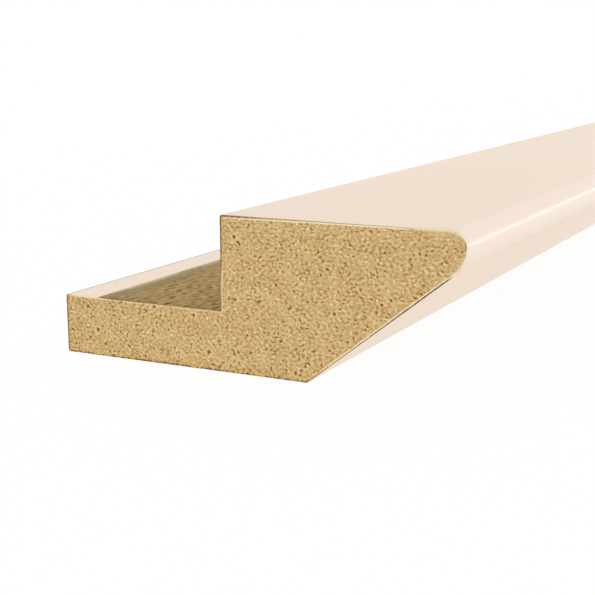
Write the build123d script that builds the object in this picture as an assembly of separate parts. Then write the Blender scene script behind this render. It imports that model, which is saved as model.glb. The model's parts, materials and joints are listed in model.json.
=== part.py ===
from build123d import *
import math
import os

# Rebated moulding, machined from one length of medium density fibreboard.
# It lies on its flat base: +Z is up, +Y runs along the length, and +X points from the tongue to the nose.
# The origin is at floor level, in the middle of the length and of the overall width.

# Driving dimensions, in millimetres
LENGTH = 2400.0            # a stock length
TONGUE_WIDTH = 36.0        # floor of the rebate, from the back edge to the rise
TONGUE_THICKNESS = 11.8
REBATE_DEPTH = 18.2        # height of the rise, which takes an 18 mm board with 0.2 mm to spare
TOP_WIDTH = 48.0           # from the rise to the tip of the nose
FOOT_WIDTH = 18.0          # part of the flat base that lies in front of the rise
NOSE_TOP_RADIUS = 3.0      # from the flat top to the tip
NOSE_UNDER_RADIUS = 6.5    # from the tip to the slanted underside

# Places in the section, which follow from those sizes
HEIGHT = TONGUE_THICKNESS + REBATE_DEPTH
WIDTH = TONGUE_WIDTH + TOP_WIDTH
BACK_X = -WIDTH / 2
TIP_X = WIDTH / 2
RISE_X = BACK_X + TONGUE_WIDTH
FOOT_X = RISE_X + FOOT_WIDTH
TIP_Z = HEIGHT - NOSE_TOP_RADIUS


def underside_slope():
    """Angle above the floor, in degrees, of the line from the foot that just touches the round under the tip."""
    run = TIP_X - NOSE_UNDER_RADIUS - FOOT_X
    centre_distance = math.hypot(run, TIP_Z)
    return math.degrees(math.atan2(TIP_Z, run) - math.asin(NOSE_UNDER_RADIUS / centre_distance))


def section_face():
    """The section, drawn in the XZ plane: straight faces, and a nose of two rounds that meet at its tip."""
    top = Line((RISE_X, HEIGHT), (TIP_X - NOSE_TOP_RADIUS, HEIGHT))
    nose_top = JernArc(start=top @ 1, tangent=(1, 0), radius=NOSE_TOP_RADIUS, arc_size=-90)
    nose_under = JernArc(
        start=nose_top @ 1, tangent=(0, -1), radius=NOSE_UNDER_RADIUS, arc_size=underside_slope() - 90
    )
    straights = Polyline(
        nose_under @ 1,
        (FOOT_X, 0),
        (BACK_X, 0),
        (BACK_X, TONGUE_THICKNESS),
        (RISE_X, TONGUE_THICKNESS),
        (RISE_X, HEIGHT),
    )
    return Plane.XZ * make_face([top, nose_top, nose_under, straights])


def moulding():
    """The section carried along the whole length, half each way from the middle."""
    return extrude(section_face(), amount=LENGTH / 2, both=True)


os.makedirs("parts", exist_ok=True)
export_step(moulding(), "parts/mdf_moulding.step")
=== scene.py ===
import bpy
import json
import math
import numpy as np
from mathutils import Euler, Matrix, Vector, kdtree, noise


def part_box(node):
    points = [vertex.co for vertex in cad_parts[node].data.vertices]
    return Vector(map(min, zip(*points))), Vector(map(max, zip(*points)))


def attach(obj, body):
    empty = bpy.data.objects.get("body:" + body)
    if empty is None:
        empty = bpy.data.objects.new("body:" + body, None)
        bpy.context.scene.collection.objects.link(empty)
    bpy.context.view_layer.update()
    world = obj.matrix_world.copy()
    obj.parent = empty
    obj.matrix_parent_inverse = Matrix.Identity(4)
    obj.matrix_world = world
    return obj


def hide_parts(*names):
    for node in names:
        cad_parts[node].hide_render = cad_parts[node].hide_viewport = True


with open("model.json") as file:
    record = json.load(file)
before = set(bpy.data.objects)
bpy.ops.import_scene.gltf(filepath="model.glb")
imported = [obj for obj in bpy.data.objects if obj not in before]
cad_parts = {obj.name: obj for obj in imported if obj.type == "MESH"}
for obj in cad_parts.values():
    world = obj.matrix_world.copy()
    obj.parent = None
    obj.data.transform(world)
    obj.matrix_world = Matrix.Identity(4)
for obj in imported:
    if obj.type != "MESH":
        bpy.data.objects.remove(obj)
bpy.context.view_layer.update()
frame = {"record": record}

mm = 0.001
touch = 0.001 * mm   # places closer than this are the same place


# Section of the stock, from the frame's box and mounts

low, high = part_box("mdf_moulding")
mountPlace = {mount["name"]: mount["pos_m"] for mount in frame["record"]["mounts"]}
section = {
    "backX": low.x,
    "tipX": high.x,
    "topZ": high.z,
    "nearY": low.y,
    "farY": high.y,
    "riseX": mountPlace["rebate_rise"][0],
    "lapZ": mountPlace["rebate_floor"][2],
    "footX": 2 * mountPlace["base"][0] - low.x,
    "lapWidth": 7.6 * mm,        # foil turned over onto the tongue
    "lapFeather": 0.8 * mm,      # over which the foil thins out
    "lapStep": 0.1 * mm,         # milled floor lies this much below the foil
    "noseTop": 3.0 * mm,         # round from the flat top to the tip
    "noseUnder": 6.5 * mm,       # round from the tip to the slant
    "noseCuts": 18,              # facets on each round of the nose
    "foldRound": 0.35 * mm,      # foil folded round the long arrises
    "foldSteps": 4,
    "riseChamfer": 0.3 * mm,
    "flatAngle": 0.5,            # degrees; points on flatter stretches are dropped
    "pointPitch": 0.5 * mm,      # widest gap between two points of the outline
    "millRidge": 0.03 * mm,      # cutter lines in the milled rebate
    "smoothAngle": 50.0,         # degrees; sharper edges stay crisp
    "seed": 11,
}
section["lapX"] = section["backX"] + section["lapWidth"]
section["bareX"] = section["lapX"] + section["lapFeather"]
section["floorZ"] = section["lapZ"] - section["lapStep"]
section["tipZ"] = section["topZ"] - section["noseTop"]
noseRun = section["tipX"] - section["noseUnder"] - section["footX"]
slope = math.atan2(section["tipZ"], noseRun)
slope -= math.asin(section["noseUnder"] / math.hypot(noseRun, section["tipZ"]))
slantOut = Vector((math.sin(slope), 0, -math.cos(slope)))   # outward from the slanted underside

# Slots of the finishes on the piece
foil, sawn, milled = range(3)


def pick(piece, kind, wanted):
    bpy.ops.object.mode_set(mode="OBJECT")
    mesh = piece.data
    groups = {"VERT": mesh.vertices, "EDGE": mesh.edges, "FACE": mesh.polygons}
    for group in groups.values():
        group.foreach_set("select", [False] * len(group))
    for item in groups[kind]:
        item.select = bool(wanted(item))
    bpy.ops.object.mode_set(mode="EDIT")
    bpy.ops.mesh.select_mode(type=kind)


def cut(point, normal, clearOuter=False):
    bpy.ops.mesh.select_all(action="SELECT")
    bpy.ops.mesh.bisect(
        plane_co=point,
        plane_no=Vector(normal).normalized(),
        clear_outer=clearOuter,
        threshold=touch / 10,
    )


def edgeLength(mesh, edge):
    first, second = (mesh.vertices[index].co for index in edge.vertices)
    return (second - first).length


def inAir(place):
    s = section
    if place.x > s["riseX"]:
        return False
    return place.z > np.interp(place.x, (s["lapX"], s["bareX"]), (s["lapZ"], s["floorZ"]))


def onEnd(face):
    return abs(face.normal.y) > 0.5   # a face of an end looks along the length


def drawSection():
    s = section
    bpy.ops.object.select_all(action="DESELECT")
    middle = (0, s["nearY"], s["topZ"] / 2)
    bpy.ops.mesh.primitive_plane_add(size=1, location=middle, rotation=(math.pi / 2, 0, 0))
    piece = bpy.context.object
    piece.name = "wrapped_moulding"
    piece.scale = (s["tipX"] - s["backX"], s["topZ"], 1)
    bpy.ops.object.transform_apply(location=True, rotation=True, scale=True)
    bpy.ops.object.mode_set(mode="EDIT")
    cut((s["footX"], 0, 0), slantOut, clearOuter=True)

    # Nose planed round, one facet at a time
    topCentre = Vector((s["tipX"] - s["noseTop"], 0, s["tipZ"]))
    underCentre = Vector((s["tipX"] - s["noseUnder"], 0, s["tipZ"]))
    for step in range(1, s["noseCuts"]):
        share = step / s["noseCuts"]
        for centre, radius, sweep in (
            (topCentre, s["noseTop"], math.pi / 2),
            (underCentre, s["noseUnder"], slope - math.pi / 2),
        ):
            outward = Vector((math.cos(share * sweep), 0, math.sin(share * sweep)))
            cut(centre + radius * outward, outward, clearOuter=True)

    # Rebate cut out of the upper left, with the foil's edge feathered down to its floor
    for x in (s["riseX"], s["lapX"], s["bareX"]):
        cut((x, 0, 0), (1, 0, 0))
    for z in (s["lapZ"], s["floorZ"]):
        cut((0, 0, z), (0, 0, 1))
    cut((s["lapX"], 0, s["lapZ"]), (s["lapStep"], 0, s["lapFeather"]))
    pick(piece, "FACE", lambda face: inAir(face.center))
    bpy.ops.mesh.delete(type="FACE")
    bpy.ops.mesh.select_all(action="SELECT")
    bpy.ops.mesh.dissolve_limited(angle_limit=math.radians(s["flatAngle"]))

    # Long arrises eased where the foil folds round them
    for x, z, setback, steps in (
        (s["backX"], 0, s["foldRound"], s["foldSteps"]),
        (s["backX"], s["lapZ"], s["foldRound"], s["foldSteps"]),
        (s["footX"], 0, s["foldRound"], s["foldSteps"]),
        (s["riseX"], s["topZ"], s["riseChamfer"], 1),
    ):
        corner = Vector((x, s["nearY"], z))
        pick(piece, "VERT", lambda point: (point.co - corner).length < 10 * touch)
        bpy.ops.mesh.bevel(offset_type="ABSOLUTE", offset=setback, segments=steps, affect="VERTICES")

    # Outline divided until no gap is wider than the pitch
    while True:
        pick(piece, "EDGE", lambda edge: edgeLength(piece.data, edge) > s["pointPitch"])
        bpy.ops.object.mode_set(mode="OBJECT")
        if not any(edge.select for edge in piece.data.edges):
            break
        bpy.ops.object.mode_set(mode="EDIT")
        bpy.ops.mesh.subdivide(number_cuts=1)

    # Cutter lines on the milled floor and rise
    rng = np.random.default_rng(s["seed"])
    for point in piece.data.vertices:
        ridge = s["millRidge"] * rng.random()
        onFloor = abs(point.co.z - s["floorZ"]) < touch
        onRise = abs(point.co.x - s["riseX"]) < touch
        if onFloor and s["bareX"] + touch < point.co.x < s["riseX"] - touch:
            point.co.z -= ridge
        if onRise and s["floorZ"] + touch < point.co.z < s["topZ"] - 2 * s["riseChamfer"]:
            point.co.x += ridge
    print("section drawn with", len(piece.data.vertices), "points")
    return piece


def outlineDistances(piece):
    # Distance of each point of the outline from the top of the rise, over the nose and the base
    mesh = piece.data
    heightFirst = 1000   # the highest points come first, and then the one furthest left
    loop = [mesh.vertices[index].co.copy() for index in mesh.polygons[0].vertices]
    start = max(range(len(loop)), key=lambda index: loop[index].z * heightFirst - loop[index].x)
    loop = loop[start:] + loop[:start]
    if loop[1].x < loop[0].x:
        loop = loop[:1] + loop[:0:-1]
    walked = 0.0
    distances = {}
    for index, place in enumerate(loop):
        if index:
            walked += (place - loop[index - 1]).length
        distances[(place.x, place.z)] = walked
    return distances, walked + (loop[0] - loop[-1]).length


sawnEnd = {
    "bands": (0.17 * mm, 0.15 * mm),   # rings of faces inside the outline, which keep the arris crisp
    "collar": 0.4 * mm,          # length over which the arris is chipped
    "cell": 0.2 * mm,            # grid of the sawn face
    "gridShift": 0.37,           # of a cell, so that no line runs along an edge
    "samples": 8,                # places tried between two points of the outline
    "chip": 0.08 * mm,           # deepest nick on a ragged arris
    "foilChip": 0.02 * mm,       # deepest nick on an arris under foil
    "raggedFrom": 0.5,           # past this an arris counts as ragged
    "nickRun": 0.5,              # how far a nick runs along the length, for its depth
    "fuzz": 0.035 * mm,          # torn fibre all over
    "lumps": 1.7,                # lumps of it to a millimetre
    "lumpLevel": (0.5, 0.8),     # their middle height, and the swing about it
    "lumpShift": 9.0,            # moves them, so the two ends differ
    "hairs": 0.5,                # height of single torn hairs
    "ease": 0.35 * mm,           # over which the torn fibre sets in behind the rings
    "pits": 880,                 # over the whole box of the section
    "pitDepth": 0.11 * mm,
    "pitLength": (0.25, 0.52),   # half lengths, in millimetres
    "pitSlim": (0.45, 0.8),
    "pitStrength": (0.15, 0.96),
    "pitProfile": (0.4, 1.15, 1.5, 2.0),   # where its floor, its wall, its lip's rise and its lip end
    "pitLip": 0.45,              # how light the torn lip round a pit is
    "pitCrowd": 5.0,             # size of the patches with more or fewer pits, in millimetres
    "crowdLevel": (0.8, 1.3),    # strength of the pits in a middling patch, and the swing about it
    "crowdRange": (0.25, 1.0),
    "seed": 5,
}


def bandTheSection(piece):
    # Narrow rings inside the outline, parked in another slot while the face within them is gridded
    for width in sawnEnd["bands"]:
        bpy.ops.object.mode_set(mode="EDIT")
        bpy.ops.mesh.select_mode(type="FACE")
        bpy.ops.mesh.inset(thickness=width, depth=0)
        bpy.ops.object.mode_set(mode="OBJECT")
        for face in piece.data.polygons:
            if not face.select:
                face.material_index = milled


def gridSawnFace(piece):
    bpy.ops.object.mode_set(mode="EDIT")
    piece.active_material_index = sawn
    s, cell = section, sawnEnd["cell"]
    shift = sawnEnd["gridShift"] * cell
    lines = [((x, 0, 0), (1, 0, 0)) for x in np.arange(s["backX"] + shift, s["tipX"], cell)]
    lines += [((0, 0, z), (0, 0, 1)) for z in np.arange(shift, s["topZ"], cell)]
    for point, normal in lines:
        bpy.ops.mesh.select_all(action="DESELECT")
        bpy.ops.object.material_slot_select()
        bpy.ops.mesh.bisect(plane_co=point, plane_no=normal, threshold=touch / 10)
    print("sawn face gridded")


def runToLength(piece):
    length = section["farY"] - section["nearY"]
    bpy.ops.mesh.select_mode(type="FACE")
    bpy.ops.mesh.select_all(action="SELECT")
    for run in (sawnEnd["collar"], length - 2 * sawnEnd["collar"], sawnEnd["collar"]):
        bpy.ops.mesh.extrude_region_move(TRANSFORM_OT_translate={"value": (0, run, 0)})
    bpy.ops.mesh.select_all(action="SELECT")
    bpy.ops.mesh.normals_make_consistent(inside=False)
    bpy.ops.object.mode_set(mode="OBJECT")
    print("stock run to", round(length, 4), "m with", len(piece.data.polygons), "faces")


def sortFinishes(piece):
    s = section
    riseReach = s["riseX"] + s["millRidge"] + touch
    for face in piece.data.polygons:
        inRebate = s["lapX"] < face.center.x < riseReach and face.center.z > s["floorZ"] / 2
        if onEnd(face):
            face.material_index = sawn
        else:
            face.material_index = milled if inRebate else foil


bakeMap = {                      # shares of the map's width and height
    "margin": 0.01,
    "span": 0.98,
    "foilStrip": (0.005, 0.235),
    "milledStrip": (0.245, 0.415),
    "farEnd": 0.425,
    "nearEnd": 0.71,
    "endHeight": 0.275,
}


def layOutMap(piece, distances, around):
    # Ends large on the upper part of the map, milled faces and foil as strips along its foot
    s, b, mesh = section, bakeMap, piece.data
    width, length = s["tipX"] - s["backX"], s["farY"] - s["nearY"]
    lapPoints = [place for place in distances if abs(place[0] - s["lapX"]) < touch and place[1] > s["floorZ"]]
    lapAt = min(distances[place] for place in lapPoints)
    strips = {foil: (*b["foilStrip"], 0.0, lapAt), milled: (*b["milledStrip"], lapAt, around)}
    layer = mesh.uv_layers.new(name="OFBake")
    places = np.zeros((len(mesh.loops), 2), np.float32)
    for face in mesh.polygons:
        points = [mesh.vertices[index].co for index in face.vertices]
        if onEnd(face):
            foot = b["nearEnd"] if face.center.y < 0 else b["farEnd"]
            for corner, at in zip(face.loop_indices, points):
                across = b["margin"] + b["span"] * (at.x - s["backX"]) / width
                places[corner] = (across, foot + b["endHeight"] * at.z / s["topZ"])
            continue
        bottom, top, first, last = strips[face.material_index]
        walked = [distances[(at.x, at.z)] for at in points]
        if max(walked) - min(walked) > around / 2:
            walked = [far if far > around / 2 else far + around for far in walked]
        for corner, at, far in zip(face.loop_indices, points, walked):
            along = b["margin"] + b["span"] * (at.y - s["nearY"]) / length
            places[corner] = (along, bottom + (top - bottom) * (far - first) / (last - first))
    layer.data.foreach_set("uv", places.ravel())
    print("map laid out")


edgeNames = ("scorch", "line", "ragged", "glint", "gold", "pale")

# Looks of the cut's edge on each stretch of the outline: how dark its line is, how wide that line is in
# millimetres, how ragged, how light the fibres behind it, how golden, and how far a pale rim reaches in.
# A pair gives places along the stretch, in millimetres, and the values there.
cutEdge = {
    "top": {                     # from the rise to the nose
        "scorch": ((5, 9, 30, 37, 40), (0.95, 0.75, 0.5, 0.45, 0.0)),
        "line": ((4, 9, 18, 30), (0.39, 0.33, 0.22, 0.18)),
        "ragged": 0.1,
        "glint": ((1, 6, 36, 40), (0.7, 1.0, 1.0, 0.0)),
        "gold": 0.0,
    },
    "slant": {                   # up from the base
        "scorch": ((1, 9, 15, 21.3, 22.2), (0.8, 0.85, 1.0, 1.0, 0.0)),
        "line": ((1, 9, 15, 19, 21), (0.18, 0.2, 0.27, 0.31, 0.24)),
        "ragged": 0.1,
        "glint": ((1, 4.5, 18, 21.5), (0.25, 1.0, 1.0, 0.7)),
        "gold": ((1, 4, 14, 19), (0.9, 0.7, 0.6, 0.1)),
    },
    "nose": {                    # up from the tip
        "scorch": ((-0.2, 0.2, 1.1, 1.5), (0.0, 0.75, 0.75, 0.0)),
        "line": 0.28,
        "ragged": 0.4,
        "glint": 0.0,
        "gold": 0.0,
    },
    "base": {"scorch": 1.0, "line": 0.3, "ragged": 0.6, "glint": 0.0, "gold": 1.0, "pale": 0.0},
    "back": {"scorch": 1.0, "line": 0.3, "ragged": 0.2, "glint": 0.0, "gold": 0.9, "pale": 0.0},
    "tongue": {                  # in from the back edge
        "scorch": ((0.6, 2, 7, 10), (0.9, 0.0, 0.0, 0.2)),
        "line": 0.12,
        "ragged": 0.9,
        "glint": 0.35,
        "gold": 0.1,
        "pale": ((1, 3, 8, 11), (0.15, 0.35, 0.35, 0.0)),
    },
    "rise": {                    # up from the base
        "scorch": ((16, 22), (0.35, 1.0)),
        "line": ((16, 22), (0.1, 0.27)),
        "ragged": 0.2,
        "glint": ((14, 18, 22), (0.4, 0.6, 0.0)),
        "gold": ((17, 24), (0.0, 0.9)),
        "pale": 0.0,
    },
}

# Reach of the pale rim over the nose, in millimetres: broad above it, slight at its tip
noseEdge = {
    "above": ((0.2, 0.8), (0.04, 0.4)),   # up the upper round, as a share of it
    "setIn": ((36, 40), (0.0, 1.0)),      # from the rise
    "below": ((0.6, 2.0, 4.5, 6.5), (0.05, 0.35, 0.4, 0.0)),   # down from the tip
}

# A place this near a face lies on it
faceBand = {"top": 0.2 * mm, "slant": 0.1 * mm, "base": 0.4 * mm, "back": 0.4 * mm, "rise": 0.1 * mm}


def edgeStretch(x, z):
    # The stretch of the outline that a place is on, and how far along it, in millimetres
    s, band = section, faceBand
    overSlant = (x - s["footX"]) * slantOut.x + z * slantOut.z
    if z > s["topZ"] - band["top"] and x < s["tipX"] - s["noseTop"]:
        return "top", (x - s["riseX"]) / mm
    if overSlant > -band["slant"] and z > band["base"]:
        return "slant", z / mm
    if x > s["tipX"] - s["noseUnder"]:
        return "nose", (z - s["tipZ"]) / mm
    if z < band["base"]:
        return "base", (x - s["backX"]) / mm
    if x < s["backX"] + band["back"]:
        return "back", z / mm
    if x < s["riseX"] - band["rise"]:
        return "tongue", (x - s["backX"]) / mm
    return "rise", z / mm


def noseRim(x, z):
    s = section
    if z > s["tipZ"]:
        above = np.interp((z - s["tipZ"]) / s["noseTop"], *noseEdge["above"])
        return above * np.interp((x - s["riseX"]) / mm, *noseEdge["setIn"])
    return np.interp((s["tipZ"] - z) / mm, *noseEdge["below"])


def edgeMarks(x, z):
    stretch, along = edgeStretch(x, z)
    looks = {"pale": noseRim(x, z), **cutEdge[stretch]}
    values = (looks[name] for name in edgeNames)
    return [np.interp(along, *value) if isinstance(value, tuple) else value for value in values]


def outlineFinder(loop):
    # Finds the nearest place on the outline, and the look of the cut's edge there
    samples = sawnEnd["samples"]
    places = []
    for first, second in zip(loop, loop[1:] + loop[:1]):
        for step in range(samples):
            share = step / samples
            x, z = ((1 - share) * one + share * two for one, two in zip(first, second))
            places.append((x, 0.0, z))
    finder = kdtree.KDTree(len(places))
    for index, place in enumerate(places):
        finder.insert(place, index)
    finder.balance()
    return finder, [edgeMarks(x, z) for x, _, z in places]


def pitMarks(rng, places):
    # How deep in a pit each place lies, from 0 to 1, or below 0 on its lip; places are in millimetres
    e = sawnEnd
    lowest, highest = places.min(0), places.max(0)
    level, swing = e["crowdLevel"]
    heights = (1.0, 0.0, -e["pitLip"], 0.0)
    deep = np.zeros(len(places))
    for _ in range(e["pits"]):
        middle = rng.uniform(lowest, highest)
        angle = rng.uniform(0, math.pi)
        half = rng.uniform(*e["pitLength"])
        slim = rng.uniform(*e["pitSlim"])
        crowd = noise.noise(Vector((middle[0], 0.0, middle[1])) / e["pitCrowd"])
        strength = rng.uniform(*e["pitStrength"]) * np.clip(level + swing * crowd, *e["crowdRange"])
        near = np.flatnonzero(np.abs(places - middle).max(1) < e["pitProfile"][-1] * half)
        offset = places[near] - middle
        along = offset @ (math.cos(angle), math.sin(angle))
        across = offset @ (-math.sin(angle), math.cos(angle))
        reach = np.hypot(along / half, across / (half * slim))
        hollow = np.interp(reach, e["pitProfile"], heights) * strength
        deep[near] = np.where(np.abs(hollow) > np.abs(deep[near]), hollow, deep[near])
    return deep


def roughenEnds(piece, loop):
    e, mesh = sawnEnd, piece.data
    count = len(mesh.vertices)
    places = np.zeros(count * 3)
    mesh.vertices.foreach_get("co", places)
    places = places.reshape(-1, 3)
    finder, looks = outlineFinder(loop)
    marks = {name: np.zeros(count, np.float32) for name in ("inset", "pit") + edgeNames}
    level, swing = e["lumpLevel"]
    for end, inward in ((section["nearY"], 1), (section["farY"], -1)):
        rng = np.random.default_rng(e["seed"] + inward)
        atEnd = np.flatnonzero(np.abs(places[:, 1] - end) < touch)
        for index in atEnd:
            x, _, z = places[index]
            _, nearest, gap = finder.find((x, 0.0, z))
            marks["inset"][index] = gap / mm
            for name, value in zip(edgeNames, looks[nearest]):
                marks[name][index] = value

        # Torn fibre and pits on the sawn face
        inset = marks["inset"][atEnd] * mm
        flat = places[atEnd][:, (0, 2)] / mm
        deep = pitMarks(rng, flat)
        shift = inward * e["lumpShift"]
        lift = [noise.noise(Vector((x * e["lumps"], shift, z * e["lumps"]))) for x, z in flat]
        torn = np.clip(level + swing * np.array(lift), 0, 1) + e["hairs"] * rng.random(len(atEnd))
        sunk = e["fuzz"] * torn + e["pitDepth"] * np.maximum(deep, 0)
        places[atEnd, 1] += inward * sunk * np.clip((inset - e["bands"][0]) / e["ease"], 0, 1)
        marks["pit"][atEnd] = deep

        # Nicks along the arris, deeper where it is ragged
        for index in atEnd[inset < touch]:
            depth = e["chip"] if marks["ragged"][index] > e["raggedFrom"] else e["foilChip"]
            nick = depth * rng.random() ** 2
            aim = np.array((-places[index, 0], 0.0, section["floorZ"] / 2 - places[index, 2]))
            places[index] += nick * aim / np.linalg.norm(aim) + (0, inward * e["nickRun"] * nick, 0)
    mesh.vertices.foreach_set("co", places.ravel())
    for name, values in marks.items():
        mesh.attributes.new(name, "FLOAT", "POINT").data.foreach_set("value", values)
    mesh.update()
    print("ends roughened")


# Helpers for the finishes

noiseSpan = (0.3, 0.7)   # most of a noise lies between these


def shown(red, green, blue):
    # A colour as a picker shows it, in Blender's linear values
    channels = [value / 255 for value in (red, green, blue)]
    return [c / 12.92 if c <= 0.04045 else ((c + 0.055) / 1.055) ** 2.4 for c in channels] + [1.0]


def addNode(tree, kind, sockets=None, **settings):
    made = tree.nodes.new("ShaderNode" + kind)
    for name, value in settings.items():
        setattr(made, name, value)
    for name, value in (sockets or {}).items():
        if isinstance(value, bpy.types.NodeSocket):
            tree.links.new(value, made.inputs[name])
        else:
            made.inputs[name].default_value = value
    return made


def newFinish(name):
    material = bpy.data.materials.new(name)
    material.use_nodes = True
    tree = material.node_tree
    return material, tree, tree.nodes["Principled BSDF"]


def millimetres(tree):
    place = addNode(tree, "TexCoord").outputs["Object"]
    return addNode(tree, "VectorMath", {0: place, "Scale": 1 / mm}, operation="SCALE").outputs[0]


def apart(tree, place):
    made = addNode(tree, "SeparateXYZ", {0: place})
    return [made.outputs[axis] for axis in "XYZ"]


def mark(tree, name):
    return addNode(tree, "Attribute", attribute_name=name).outputs["Fac"]


def inCells(tree, place, cell):
    # cell: its size along X, Y and Z, in millimetres
    return addNode(tree, "Mapping", {"Vector": place, "Scale": [1 / side for side in cell]}).outputs[0]


def grain(tree, place, blotch, detail=2.0, output="Fac"):
    # blotch: size of the noise along X, Y and Z, in millimetres; the output Color drifts in hue
    sockets = {"Vector": inCells(tree, place, blotch), "Scale": 1.0, "Detail": detail}
    return addNode(tree, "TexNoise", sockets).outputs[output]


def streaks(tree, place, cell, stripes, aligned=0.0):
    # Short dark and light streaks, about a cell long, every way or, when aligned, along the second axis
    sockets = {"Vector": place, "Scale": 1 / cell, "Frequency": stripes, "Anisotropy": aligned}
    made = addNode(tree, "TexGabor", {**sockets, "Orientation": 0.0})
    return compute(tree, "SUBTRACT", made.outputs["Value"], 0.5)


def remap(tree, value, fromLow, fromHigh, toLow=0.0, toHigh=1.0):
    sockets = {"Value": value, "From Min": fromLow, "From Max": fromHigh, "To Min": toLow, "To Max": toHigh}
    return addNode(tree, "MapRange", sockets, interpolation_type="SMOOTHSTEP").outputs["Result"]


def compute(tree, operation, *values):
    return addNode(tree, "Math", dict(enumerate(values)), operation=operation).outputs[0]


def product(tree, value, *others):
    for other in others:
        value = compute(tree, "MULTIPLY", value, other)
    return value


def computeVector(tree, operation, first, second):
    return addNode(tree, "VectorMath", {0: first, 1: second}, operation=operation).outputs[0]


def mixColour(tree, factor, first, second, blend="MIX"):
    made = addNode(tree, "Mix", {0: factor, 6: first, 7: second}, data_type="RGBA", blend_type=blend)
    return made.outputs[2]


def tintOver(tree, factor, colour, tint, blend="MIX"):
    return mixColour(tree, factor, colour, shown(*tint), blend)


def colourRamp(tree, value, stops):
    made = addNode(tree, "ValToRGB", {"Fac": value})
    elements = made.color_ramp.elements
    while len(elements) < len(stops):
        elements.new(0.5)
    for element, (position, colour) in zip(elements, stops):
        element.position = position
        element.color = shown(*colour)
    return made.outputs["Color"]


def bump(tree, shader, height, depth):
    made = addNode(tree, "Bump", {"Height": height, "Distance": depth, "Strength": 1.0})
    tree.links.new(made.outputs["Normal"], shader.inputs["Normal"])


creamWrap = {
    "cream": (235, 212, 187),
    "paler": (237, 215, 191),
    "mottle": (60, 160, 60),        # soft drift of the tint, in millimetres
    "lines": (0.9, 40, 0.9),        # faint draw lines along the length
    "relief": 0.0014 * mm,
    "roughness": (0.42, 0.46),
    "specular": 0.24,
    "coat": 0.22,
    "coatRoughness": 0.05,
    "under": (235, 207, 179),       # warmer tint painted on the slant, against its cooler light
    "underDrop": (2.5, 4.6),        # below the tip, over which that sets in
    "nose": (238, 219, 203),        # painted sheen where the foil is drawn round the nose
    "noseIn": (3.4, 2.2),           # in from the tip, over which that sets in
    "noseFade": (1.8, 4.2),         # below the tip, over which it fades
    "lap": (241, 219, 195),         # painted light on the tongue, against the shade of the rise
    "lapDrop": (0.2, 0.0),          # below the lap, over which that sets in
    "fold": (150, 134, 130),        # painted shade: a thin grey line where the foil turns onto the tongue
    "foldEnd": (140, 104, 70),      # browner by the ends
    "foldEndReach": 14.0,
    "foldWidth": (0.4, 1.05),       # in from the back edge, over which it fades
    "foldDrop": (0.5, 0.2),         # below the lap, over which it sets in
    "foldWeight": 0.9,
    "stain": (232, 206, 154),       # foil yellowed beside the saw cut
    "stainReach": 2.5,
    "stainWeight": 0.3,
    "flareReach": 4.6,              # further above the nose, where it flares towards the tip
    "flareFrom": (35.0, 44.0, 47.5),   # where that starts, is widest and ends, from the rise
    "flareCore": 0.5,               # share of its reach with the full stain
    "flareDrop": (0.7, 0.21),       # below the flat top, over which it sets in
    "flareWeight": 0.75,
}


def creamFoil():
    f, s = creamWrap, section
    material, tree, shader = newFinish("creamFoil")
    place = millimetres(tree)
    x, y, z = apart(tree, place)
    drift = remap(tree, grain(tree, place, f["mottle"]), *noiseSpan)
    lines = grain(tree, place, f["lines"], detail=3.0)
    tint = mixColour(tree, drift, shown(*f["cream"]), shown(*f["paler"]))

    # Painted light: a warmer slant, a sheen round the nose, the lap lifted against the rise's shade
    belowTip = compute(tree, "SUBTRACT", s["tipZ"] / mm, z)
    tint = tintOver(tree, remap(tree, belowTip, *f["underDrop"]), tint, f["under"])
    fromTip = compute(tree, "SUBTRACT", s["tipX"] / mm, x)
    # Painted sheen round the nose, fading out below the tip
    noseFade = remap(tree, belowTip, *f["noseFade"], 1.0, 0.0)
    tint = tintOver(tree, product(tree, noseFade, remap(tree, fromTip, *f["noseIn"])), tint, f["nose"])
    # Painted light: the lap made paler against the shade the rise casts on it
    belowLap = compute(tree, "SUBTRACT", s["lapZ"] / mm, z)
    overTongue = compute(tree, "LESS_THAN", x, s["riseX"] / mm)
    tint = tintOver(tree, product(tree, remap(tree, belowLap, *f["lapDrop"]), overTongue), tint, f["lap"])

    # Painted shade along the outer top fold of the tongue
    fromEnd = compute(tree, "SUBTRACT", s["farY"] / mm, compute(tree, "ABSOLUTE", y))
    fromBack = compute(tree, "SUBTRACT", x, s["backX"] / mm)
    closeness = remap(tree, fromBack, *f["foldWidth"], f["foldWeight"], 0.0)
    byEnd = remap(tree, fromEnd, f["foldEndReach"], 0.0)
    foldShadeTint = mixColour(tree, byEnd, shown(*f["fold"]), shown(*f["foldEnd"]))
    tint = mixColour(tree, product(tree, closeness, remap(tree, belowLap, *f["foldDrop"])), tint, foldShadeTint)

    # Stain beside the saw cuts
    stain = remap(tree, fromEnd, 0.0, f["stainReach"], f["stainWeight"], 0.0)
    fromRise = compute(tree, "SUBTRACT", x, s["riseX"] / mm)
    first, widest, last = f["flareFrom"]
    reach = remap(tree, fromRise, first, widest, 0.0, f["flareReach"])
    reach = product(tree, reach, remap(tree, fromRise, widest, last, 1.0, 0.0))
    core = product(tree, reach, f["flareCore"])
    flare = remap(tree, fromEnd, core, reach, f["flareWeight"], 0.0)
    belowTop = compute(tree, "SUBTRACT", s["topZ"] / mm, z)
    flare = product(tree, flare, remap(tree, belowTop, *f["flareDrop"]))
    tint = tintOver(tree, compute(tree, "MAXIMUM", stain, flare), tint, f["stain"])

    tree.links.new(tint, shader.inputs["Base Color"])
    tree.links.new(remap(tree, lines, *noiseSpan, *f["roughness"]), shader.inputs["Roughness"])
    shader.inputs["Specular IOR Level"].default_value = f["specular"]
    shader.inputs["Coat Weight"].default_value = f["coat"]
    shader.inputs["Coat Roughness"].default_value = f["coatRoughness"]
    bump(tree, shader, lines, f["relief"])
    return material


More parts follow.
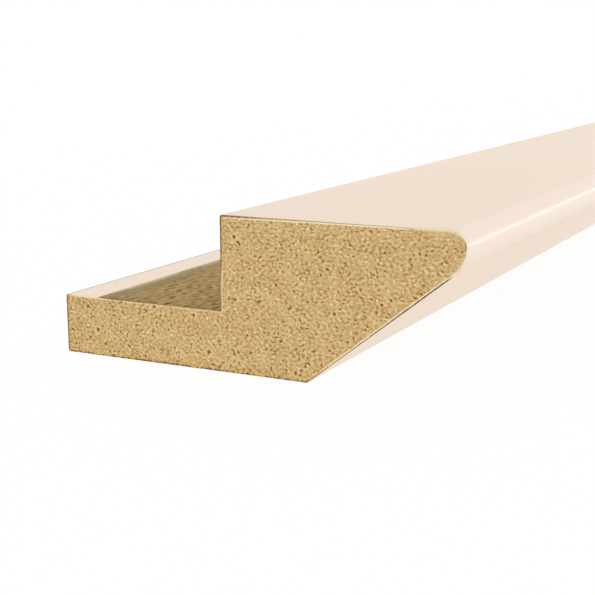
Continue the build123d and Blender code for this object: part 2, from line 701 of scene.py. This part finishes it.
sawnBoard = {
    "tones": (
        (0.00, (116, 84, 38)),
        (0.28, (172, 137, 86)),
        (0.50, (205, 173, 119)),
        (0.72, (223, 193, 141)),
        (1.00, (244, 217, 168)),
    ),
    "fibres": (                     # cell in millimetres, stripes to a cell, weight and offset of each layer
        (1.5, 1.5, 0.8, 0.0),
        (0.85, 1.4, 0.56, 31.7),
        (0.5, 1.4, 0.38, 57.3),
    ),
    "curls": (1.0, 0.36, 0.76, 3.1),   # size, slimness, weight and offset of single pale or dark fibres
    "curlHalf": 0.6,                # half length of such a fibre, for its size
    "curlCore": 0.35,               # share of it with the full tone
    "cloud": (3.0, 3.0, 3.0),
    "cloudWeight": 0.3,
    "hue": (4.5, 4.5, 4.5),         # patches a little pinker or greener, bluer or yellower
    "hueWeight": 0.026,
    "lie": (0.92, 1.2),             # fibres lie a little flat
    "slip": (370.0, 110.0),         # moves the pattern, so the two ends differ
    # darker fibre in the pits, deepened with painted shade in the hollows
    "pit": (108, 76, 32),
    "pitSpan": (0.1, 0.9),          # depth over which a pit darkens, in part painted shade
    "lip": (234, 206, 154),
    "lipSpan": (-0.3, -0.03),
    "lipWeight": 0.7,
    "jag": (0.55, 0.55, 0.55),      # patches that break up the lines along the edge
    "swing": (-0.6, 0.6),           # how far they move a ragged line, for its width
    "leastSwing": 0.2,              # how ragged the cleanest line is
    "gold": (255, 245, 220),        # multiplies the fibre
    "goldReach": (0.2, 1.8),        # in from the edge, over which it fades
    "goldPatch": (1.6, 1.6, 1.6),
    "goldSpan": (0.3, 0.6),
    "goldLeast": 0.4,
    "olive": (202, 182, 128),       # inner part of the pale rim
    "pale": (234, 216, 178),
    "rims": (("olive", 0.8, 3.5, 0.5), ("pale", 0.4, 1.4, 0.85)),   # start and end in the reach, and weight
    "glint": (252, 235, 196),
    "glintBand": (0.08, 0.36),      # behind the dark line, over which it fades
    "glintLevel": 0.9,
    "singed": (138, 90, 50),        # where the dark line is wide
    "scorched": (88, 60, 32),
    "singedLine": (0.22, 0.38),     # widths between the two
    "lineEdge": (0.6, 1.3),         # soft edge of the line, for its width
    "gapSpan": (0.42, 0.58),        # gaps in a ragged line
    "roughness": 0.9,
    "specular": 0.05,
    "relief": 0.05 * mm,
}


def fibreMarks(tree, place, size, slim, offset):
    # Short fibres lying every way, one to a cell; gives the mark and a random number for each
    f = sawnBoard
    moved = computeVector(tree, "ADD", place, (offset, 2 * offset, 0))
    cells = addNode(tree, "TexVoronoi", {"Vector": moved, "Scale": 1 / size}, voronoi_dimensions="2D")
    chance = addNode(tree, "SeparateColor", {"Color": cells.outputs["Color"]})
    local = computeVector(tree, "SUBTRACT", moved, cells.outputs["Position"])
    angle = product(tree, chance.outputs["Red"], 2 * math.pi)
    turned = addNode(tree, "VectorRotate", {"Vector": local, "Angle": angle}, rotation_type="Z_AXIS")
    half = f["curlHalf"] * size
    squeeze = (1 / half, 1 / (half * slim), 0)
    spread = computeVector(tree, "MULTIPLY", turned.outputs[0], squeeze)
    reach = addNode(tree, "VectorMath", {0: spread}, operation="LENGTH").outputs["Value"]
    return remap(tree, reach, f["curlCore"], 1.0, 1.0, 0.0), chance.outputs["Green"]


def edgeTints(tree, place, colour):
    # Gold, a pale rim, light fibres and a dark line, one over the other from the cut's edge inwards
    f = sawnBoard
    inset, line, ragged = (mark(tree, name) for name in ("inset", "line", "ragged"))
    jag = grain(tree, place, f["jag"])
    swing = remap(tree, jag, *noiseSpan, *f["swing"])
    swing = product(tree, swing, compute(tree, "MAXIMUM", ragged, f["leastSwing"]))
    uneven = compute(tree, "ADD", swing, 1.0)

    golden = product(tree, mark(tree, "gold"), remap(tree, inset, *f["goldReach"], 1.0, 0.0))
    patches = remap(tree, grain(tree, place, f["goldPatch"]), *f["goldSpan"], f["goldLeast"], 1.0)
    colour = tintOver(tree, product(tree, golden, patches), colour, f["gold"], blend="MULTIPLY")

    reach = product(tree, mark(tree, "pale"), uneven)
    for name, first, last, weight in f["rims"]:
        start, stop = (product(tree, reach, share) for share in (first, last))
        colour = tintOver(tree, remap(tree, inset, start, stop, weight, 0.0), colour, f[name])

    width = product(tree, line, uneven)
    start, stop = (compute(tree, "ADD", width, more) for more in f["glintBand"])
    light = product(tree, remap(tree, inset, start, stop, 1.0, 0.0), mark(tree, "glint"))
    broken = compute(tree, "MINIMUM", compute(tree, "ADD", swing, f["glintLevel"]), 1.0)
    colour = tintOver(tree, product(tree, light, broken), colour, f["glint"])

    start, stop = (product(tree, width, share) for share in f["lineEdge"])
    dark = product(tree, remap(tree, inset, start, stop, 1.0, 0.0), mark(tree, "scorch"))
    gaps = product(tree, ragged, remap(tree, jag, *f["gapSpan"], 1.0, 0.0))
    dark = product(tree, dark, compute(tree, "SUBTRACT", 1.0, gaps))
    lineTone = mixColour(tree, remap(tree, line, *f["singedLine"]), shown(*f["scorched"]), shown(*f["singed"]))
    return mixColour(tree, dark, colour, lineTone)


def sawnFibre():
    f = sawnBoard
    material, tree, shader = newFinish("sawnFibre")
    place = millimetres(tree)
    x, y, z = apart(tree, place)
    across, upward = (
        compute(tree, "MULTIPLY_ADD", y, slip * mm, axis) for slip, axis in zip(f["slip"], (x, z))
    )
    flat = addNode(tree, "CombineXYZ", {"X": across, "Y": upward}).outputs[0]
    flat = computeVector(tree, "MULTIPLY", flat, (*f["lie"], 1.0))
    cloud = compute(tree, "SUBTRACT", grain(tree, flat, f["cloud"], detail=4.0), 0.5)
    tone = compute(tree, "MULTIPLY_ADD", cloud, f["cloudWeight"], 0.5)
    for cell, stripes, weight, offset in f["fibres"]:
        moved = computeVector(tree, "ADD", flat, (offset, offset, 0))
        tone = compute(tree, "MULTIPLY_ADD", streaks(tree, moved, cell, stripes), weight, tone)
    size, slim, weight, offset = f["curls"]
    curl, chance = fibreMarks(tree, flat, size, slim, offset)
    lift = product(tree, curl, compute(tree, "SUBTRACT", chance, 0.5))
    tone = compute(tree, "MULTIPLY_ADD", lift, weight, tone)
    colour = colourRamp(tree, tone, f["tones"])
    hues = grain(tree, flat, f["hue"], detail=3.0, output="Color")
    colour = mixColour(tree, f["hueWeight"], colour, hues, blend="LINEAR_LIGHT")
    pit = mark(tree, "pit")
    # Pits darker in their own fibre and with painted shade in the hollow
    colour = tintOver(tree, remap(tree, pit, *f["pitSpan"]), colour, f["pit"])
    colour = tintOver(tree, remap(tree, pit, *f["lipSpan"], f["lipWeight"], 0.0), colour, f["lip"])
    tree.links.new(edgeTints(tree, place, colour), shader.inputs["Base Color"])
    shader.inputs["Roughness"].default_value = f["roughness"]
    shader.inputs["Specular IOR Level"].default_value = f["specular"]
    bump(tree, shader, tone, f["relief"])
    return material


milledBoard = {
    "tones": (
        (0.00, (82, 54, 6)),
        (0.30, (134, 105, 49)),
        (0.50, (163, 134, 80)),
        (0.72, (180, 153, 100)),
        (1.00, (206, 182, 134)),
    ),
    "dashes": (                     # cell across and along in millimetres, stripes to a cell, and weight
        (2.7, 3.1, 1.05, 1.15),
        (1.5, 1.9, 1.1, 0.75),
    ),
    "aligned": 0.45,                # how far the dashes lie along the length
    "calm": (6.0, 8.0, 6.0),        # patches with fainter dashes
    "calmSpan": (0.38, 0.6),
    "calmest": 0.4,
    "broad": (5.0, 40.0, 5.0),
    "broadWeight": 0.25,
    "chips": (2.1, 2.6, 2.1),       # cells, a few of which hold a torn dark chip
    "chipEdge": (0.15, 0.45),       # out from its middle, over which it fades
    "chipChance": (0.7, 0.85),      # cells with a lower number hold none
    "chipWeight": -0.3,
    "patchSpan": (0.35, 0.6),       # of the patches in the haze and by the ends
    "haze": (196, 184, 150),        # glue and foil dust along the lap
    "hazeReach": 1.2,
    "hazePatch": (3.0, 7.0, 3.0),
    "hazeLeast": 0.45,
    "hazeEnd": (3.0, 9.0),          # worn off beside the cut
    "hazeWorn": 0.2,
    "olive": (140, 126, 84),
    "oliveReach": (1.0, 7.0),
    "oliveWeight": 0.5,
    "rise": (194, 164, 110),        # paler cut fibre on the rise, in part painted light against the floor
    "riseFrom": (0.1, 0.5),         # up from the floor, over which that sets in
    "riseWeight": 0.4,
    "corner": (98, 76, 40),         # painted shade in the inner corner
    "cornerReach": (0.1, 0.8),
    "cornerWeight": 0.65,
    "edgeShade": (112, 80, 30),     # browner by the sawn ends
    "edgeReach": 2.6,
    "edgePatch": (2.5, 2.5, 2.5),
    "edgeLeast": 0.35,
    "edgeWeight": 0.62,
    "roughness": 0.8,
    "specular": 0.25,
    "relief": 0.016 * mm,
}


def milledFibre():
    f, s = milledBoard, section
    material, tree, shader = newFinish("milledFibre")
    place = millimetres(tree)
    x, y, z = apart(tree, place)
    girth = compute(tree, "SUBTRACT", x, z)   # across the floor, then up the rise
    broad = compute(tree, "SUBTRACT", grain(tree, place, f["broad"]), 0.5)
    tone = compute(tree, "MULTIPLY_ADD", broad, f["broadWeight"], 0.5)
    dashes = 0.0
    for across, along, stripes, weight in f["dashes"]:
        spots = {"X": compute(tree, "DIVIDE", girth, across), "Y": compute(tree, "DIVIDE", y, along)}
        flat = addNode(tree, "CombineXYZ", spots).outputs[0]
        layer = streaks(tree, flat, 1.0, stripes, f["aligned"])
        dashes = compute(tree, "MULTIPLY_ADD", layer, weight, dashes)
    lively = remap(tree, grain(tree, place, f["calm"]), *f["calmSpan"], f["calmest"], 1.0)
    tone = compute(tree, "MULTIPLY_ADD", dashes, lively, tone)
    height = tone
    cells = addNode(tree, "TexVoronoi", {"Vector": inCells(tree, place, f["chips"]), "Scale": 1.0})
    chance = addNode(tree, "SeparateColor", {"Color": cells.outputs["Color"]}).outputs["Red"]
    chip = remap(tree, cells.outputs["Distance"], *f["chipEdge"], 1.0, 0.0)
    chip = product(tree, chip, remap(tree, chance, *f["chipChance"]))
    tone = compute(tree, "MULTIPLY_ADD", chip, f["chipWeight"], tone)
    colour = colourRamp(tree, tone, f["tones"])

    # Olive tint beside the lap, and haze on its edge
    fromLap = compute(tree, "SUBTRACT", x, s["bareX"] / mm)
    olive = remap(tree, fromLap, *f["oliveReach"], f["oliveWeight"], 0.0)
    colour = tintOver(tree, olive, colour, f["olive"])
    fromEnd = compute(tree, "SUBTRACT", s["farY"] / mm, compute(tree, "ABSOLUTE", y))
    haze = remap(tree, fromLap, -s["lapFeather"] / mm, f["hazeReach"], 1.0, 0.0)
    patches = remap(tree, grain(tree, place, f["hazePatch"]), *f["patchSpan"], f["hazeLeast"], 1.0)
    worn = remap(tree, fromEnd, *f["hazeEnd"], f["hazeWorn"], 1.0)
    colour = tintOver(tree, product(tree, haze, patches, worn), colour, f["haze"])

    # A paler rise in part painted light, painted shade in the inner corner, and a darker margin by the ends
    upRise = compute(tree, "SUBTRACT", z, s["floorZ"] / mm)
    # Paler rise, in part painted light that sets it off from the floor
    paler = remap(tree, upRise, *f["riseFrom"], 0.0, f["riseWeight"])
    colour = tintOver(tree, paler, colour, f["rise"])
    fromRise = compute(tree, "SUBTRACT", s["riseX"] / mm, x)
    fromCorner = compute(tree, "MAXIMUM", upRise, fromRise)
    # Painted shade in the inner corner
    cornerShade = remap(tree, fromCorner, *f["cornerReach"], f["cornerWeight"], 0.0)
    colour = tintOver(tree, cornerShade, colour, f["corner"])
    margin = remap(tree, fromEnd, 0.0, f["edgeReach"], f["edgeWeight"], 0.0)
    patches = remap(tree, grain(tree, place, f["edgePatch"]), *f["patchSpan"], f["edgeLeast"], 1.0)
    colour = tintOver(tree, product(tree, margin, patches), colour, f["edgeShade"])
    tree.links.new(colour, shader.inputs["Base Color"])
    shader.inputs["Roughness"].default_value = f["roughness"]
    shader.inputs["Specular IOR Level"].default_value = f["specular"]
    bump(tree, shader, height, f["relief"])
    return material


def makeMoulding():
    piece = drawSection()
    for finish in (creamFoil(), sawnFibre(), milledFibre()):
        piece.data.materials.append(finish)
    piece.data.polygons[0].material_index = sawn
    distances, around = outlineDistances(piece)
    piece.data.polygons[0].select = True
    bandTheSection(piece)
    gridSawnFace(piece)
    runToLength(piece)
    sortFinishes(piece)
    layOutMap(piece, distances, around)
    roughenEnds(piece, list(distances))
    bpy.ops.object.select_all(action="DESELECT")
    piece.select_set(True)
    bpy.context.view_layer.objects.active = piece
    bpy.ops.object.shade_smooth_by_angle(angle=math.radians(section["smoothAngle"]))
    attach(piece, "root")
    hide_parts("mdf_moulding")
    print("moulding finished with", len(piece.data.vertices), "points")


studio = {
    "white": (1, 1, 1, 1),
    "floorSize": 60.0,
    "floorDrop": 0.05 * mm,
    "floorWhite": 0.94,         # share of plain white that the camera sees in the floor by the piece
    "fadeAcross": (0.1, 0.5),   # from the middle line out, where the floor fades to plain white
    "fadeAlong": (1.25, 1.7),
    "ambient": 0.85,
    "lamps": {                  # middle, aimed at, width and height, radiance
        "overheadSoftbox": ((0.2, 0.0, 2.6), (0, 0, 0), (4.4, 1.8), 0.45),
        "lowFill": ((2.2, -0.4, -0.37), (0, -0.4, 0.02), (5.0, 0.7), 1.2),
        "frontFill": ((0.6, -4.6, 1.2), (0, -1.2, 0), (2.4, 1.6), 1.5),
    },
    # A card that shows only as a sheen on the nose, placed as the lamps are
    "glossCard": ((0.54, 0.0, -0.03), (0.042, 0.0, -0.03), (6.0, 0.16), 2.2),
    "cardColour": (0.8, 0.92, 1.0),
}


def seenDirectly(tree):
    path = addNode(tree, "LightPath")
    seen = path.outputs["Is Camera Ray"]
    for name in ("Is Glossy Ray", "Is Transmission Ray"):
        seen = compute(tree, "MAXIMUM", seen, path.outputs[name])
    return seen


def layFloor():
    bpy.ops.object.select_all(action="DESELECT")
    bpy.ops.mesh.primitive_plane_add(size=studio["floorSize"], location=(0, 0, -studio["floorDrop"]))
    floor = bpy.context.object
    floor.name = "studioFloor"
    material, tree, shader = newFinish("paleFloor")
    tree.nodes.remove(shader)
    paint = addNode(tree, "BsdfDiffuse", {"Color": studio["white"]}).outputs[0]
    white = addNode(tree, "Emission", {"Color": studio["white"], "Strength": 1.0}).outputs[0]
    x, y, _ = apart(tree, addNode(tree, "TexCoord").outputs["Object"])
    faded = []
    for axis, reach in ((x, studio["fadeAcross"]), (y, studio["fadeAlong"])):
        away = compute(tree, "ABSOLUTE", axis)
        faded.append(remap(tree, away, *reach, studio["floorWhite"], 1.0))
    share = product(tree, seenDirectly(tree), compute(tree, "MAXIMUM", *faded))
    mixed = addNode(tree, "MixShader", {0: share, 1: paint, 2: white}).outputs[0]
    tree.links.new(mixed, tree.nodes["Material Output"].inputs["Surface"])
    floor.data.materials.append(material)

    # Light and sheen reach the piece from below as well, as on a lit table
    floor.visible_diffuse = False
    floor.visible_glossy = False
    floor.visible_shadow = False


def addLamp(name, middle, aim, size, radiance):
    bpy.ops.object.light_add(type="AREA", location=middle)
    lamp = bpy.context.object
    lamp.name = name
    lamp.rotation_euler = (Vector(aim) - Vector(middle)).to_track_quat("-Z", "Y").to_euler()
    lamp.data.shape = "RECTANGLE"
    lamp.data.size, lamp.data.size_y = size
    lamp.data.energy = radiance * math.pi * size[0] * size[1]
    lamp.visible_camera = False
    return lamp


def lightStudio():
    world = bpy.data.worlds.new("studioWorld")
    bpy.context.scene.world = world
    world.use_nodes = True
    tree = world.node_tree
    tree.nodes.remove(tree.nodes["Background"])
    ambient, white = (
        addNode(tree, "Background", {"Strength": strength, "Color": studio["white"]}).outputs[0]
        for strength in (studio["ambient"], 1.0)
    )
    mixed = addNode(tree, "MixShader", {0: seenDirectly(tree), 1: ambient, 2: white}).outputs[0]
    tree.links.new(mixed, tree.nodes["World Output"].inputs["Surface"])
    for name, place in studio["lamps"].items():
        addLamp(name, *place)
    card = addLamp("glossCard", *studio["glossCard"])
    card.data.color = studio["cardColour"]
    card.visible_diffuse = False


viewpoint = {
    "place": (107.587 * mm, -1391.858 * mm, 60.976 * mm),
    "turn": 26.941,       # degrees to the left of the length
    "dip": 11.847,        # degrees below level
    "roll": -0.218,       # degrees, about the line of sight
    "lens": 73.417,
    "sensor": 36.0,
    "nearest": 10 * mm,   # nothing closer than this is seen
}


def placeCamera():
    dip, turn, roll = (math.radians(viewpoint[name]) for name in ("dip", "turn", "roll"))
    level = Euler((math.pi / 2 - dip, 0, turn)).to_matrix()
    aim = (level @ Matrix.Rotation(roll, 3, "Z")).to_euler()
    bpy.ops.object.camera_add(location=viewpoint["place"], rotation=aim)
    camera = bpy.context.object
    camera.data.lens = viewpoint["lens"]
    camera.data.sensor_width = viewpoint["sensor"]
    camera.data.clip_start = viewpoint["nearest"]
    bpy.context.scene.camera = camera


makeMoulding()
layFloor()
lightStudio()
placeCamera()
bpy.context.scene.view_settings.view_transform = "Standard"
print("studio set")
